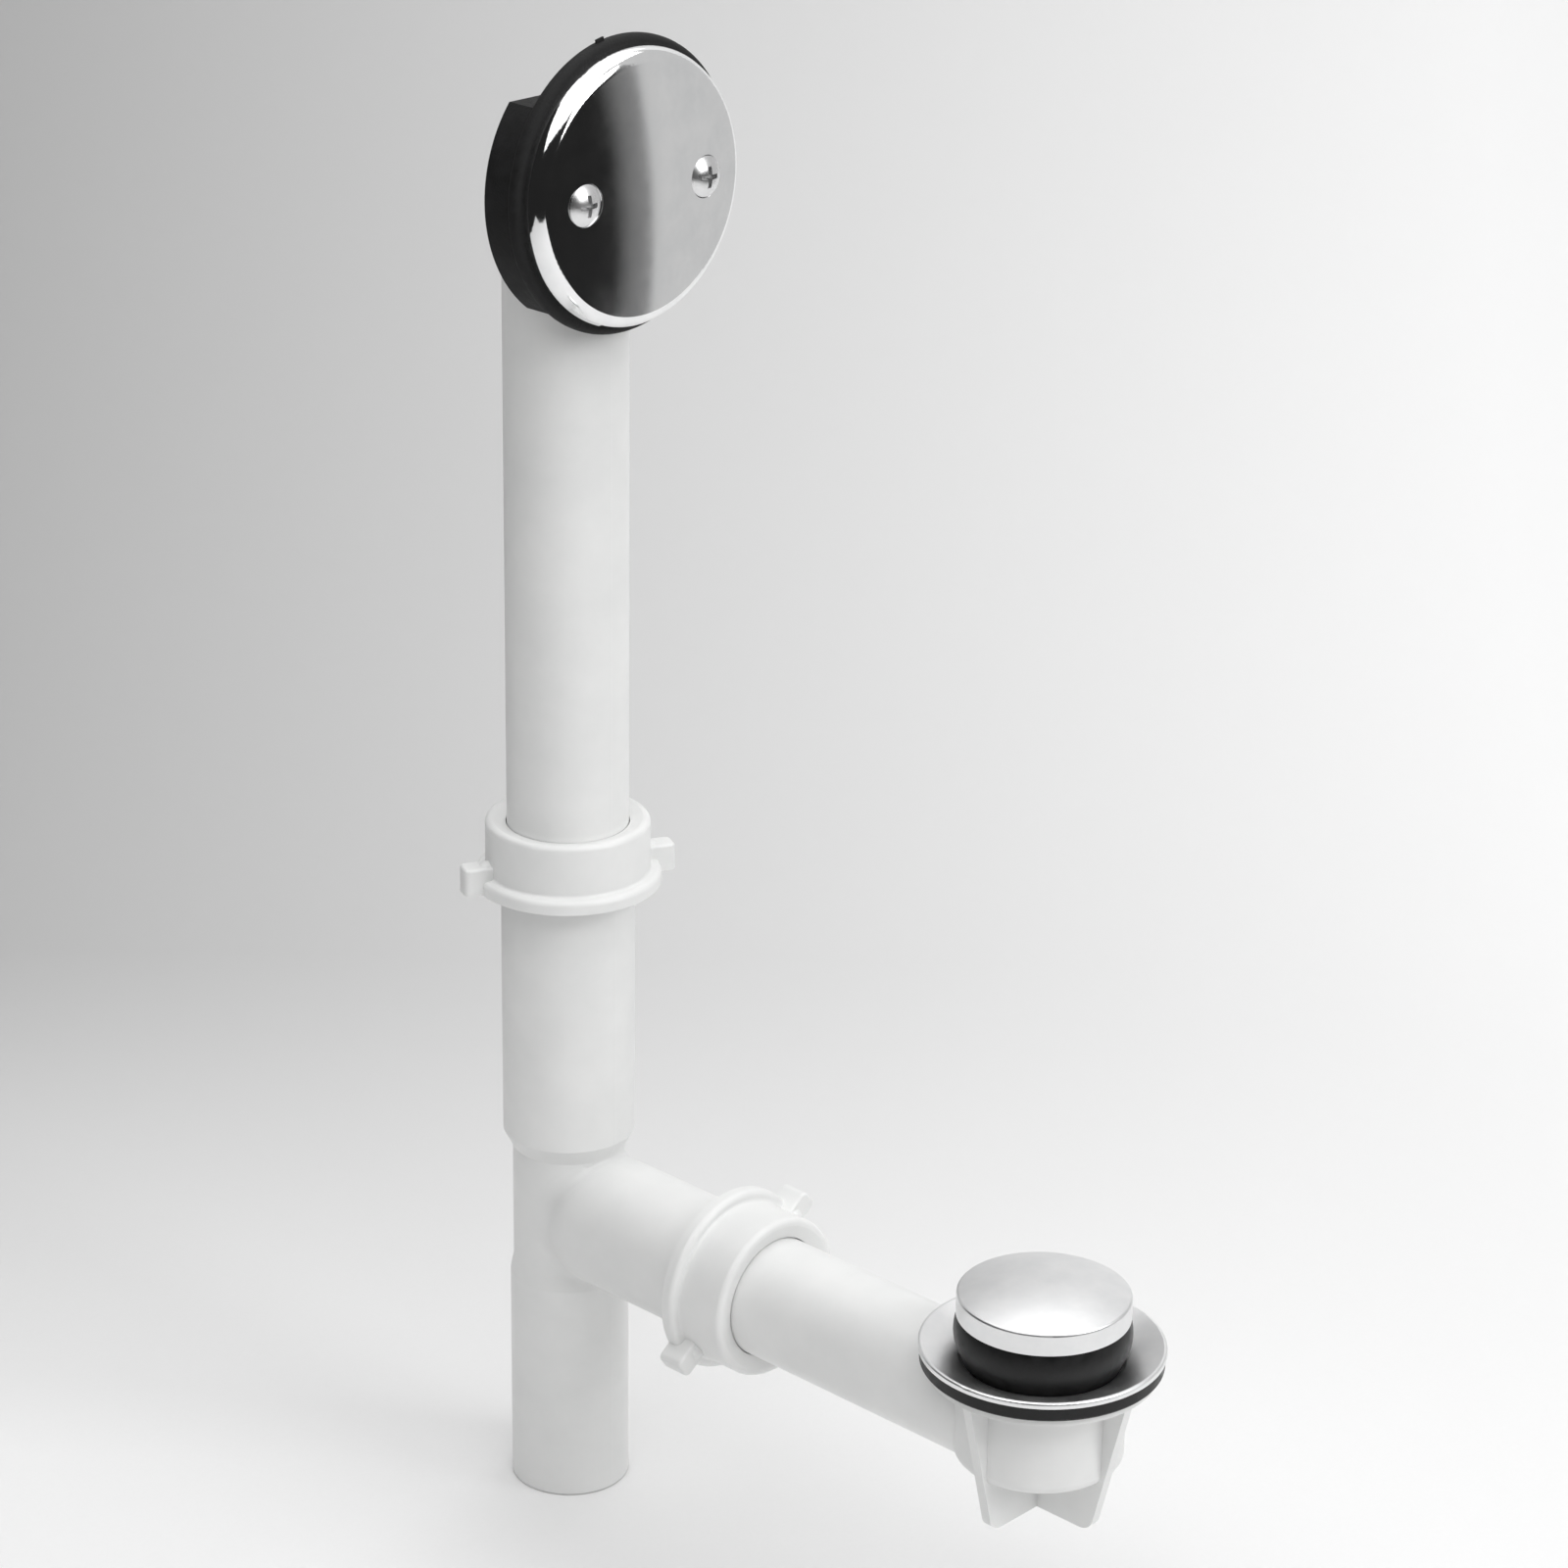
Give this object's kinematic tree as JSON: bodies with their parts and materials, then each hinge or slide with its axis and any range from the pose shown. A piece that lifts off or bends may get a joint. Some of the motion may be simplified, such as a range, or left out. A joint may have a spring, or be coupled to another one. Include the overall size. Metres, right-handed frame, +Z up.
{
  "type": "bath waste and overflow",
  "caption": "Bath waste and overflow of white plastic tube: tee with plain tail, winged slip nuts, round chrome overflow plate on a black gasket, and a finned drain shoe with a push stopper.",
  "frame": {"origin": "centre of the open lower end of the tail", "axes": "+Z up along the tail and overflow tube, +X towards the bath, along the branch to the drain shoe"},
  "size_m": [0.2647, 0.0886, 0.4816],
  "materials": {
    "white_pvc": "satin white pvc",
    "washer_plastic": "soft white polyethylene",
    "black_rubber": "matt black rubber",
    "chrome": "polished chrome plate",
    "brass": "turned brass",
    "mechanism_plastic": "natural acetal",
    "spring_steel": "stainless spring wire"
  },
  "bodies": {
    "tee": {"waste_tee": "white_pvc", "upper_slip_nut": "white_pvc", "upper_slip_washer": "washer_plastic", "side_slip_nut": "white_pvc", "side_slip_washer": "washer_plastic"},
    "overflow": {"overflow_tube": "white_pvc", "overflow_elbow": "white_pvc", "screw_inserts": "brass", "overflow_gasket": "black_rubber", "overflow_faceplate": "chrome", "faceplate_screws": "chrome"},
    "shoe": {"waste_shoe": "white_pvc", "shoe_gasket": "black_rubber", "drain_flange": "chrome", "push_barrel": "brass", "guide_bush": "mechanism_plastic", "stopper_spring": "spring_steel"},
    "stopper": {"stopper_cap": "chrome", "stopper_seal": "black_rubber", "seal_retainer": "mechanism_plastic", "rod_lock_nut": "brass", "stopper_rod": "brass", "index_ring": "mechanism_plastic"}
  },
  "joints": [
    {"name": "overflow_slip", "type": "slide", "parent": "tee", "child": "overflow", "axis": [0, 0, 1], "range_m": [-0.03, 0.035]},
    {"name": "shoe_slip", "type": "slide", "parent": "tee", "child": "shoe", "axis": [1, 0, 0], "range_m": [-0.013, 0.025]},
    {"name": "stopper_lift", "type": "slide", "parent": "shoe", "child": "stopper", "axis": [0, 0, 1], "range_m": [0, 0.0095], "deforming": ["stopper_spring"]}
  ]
}
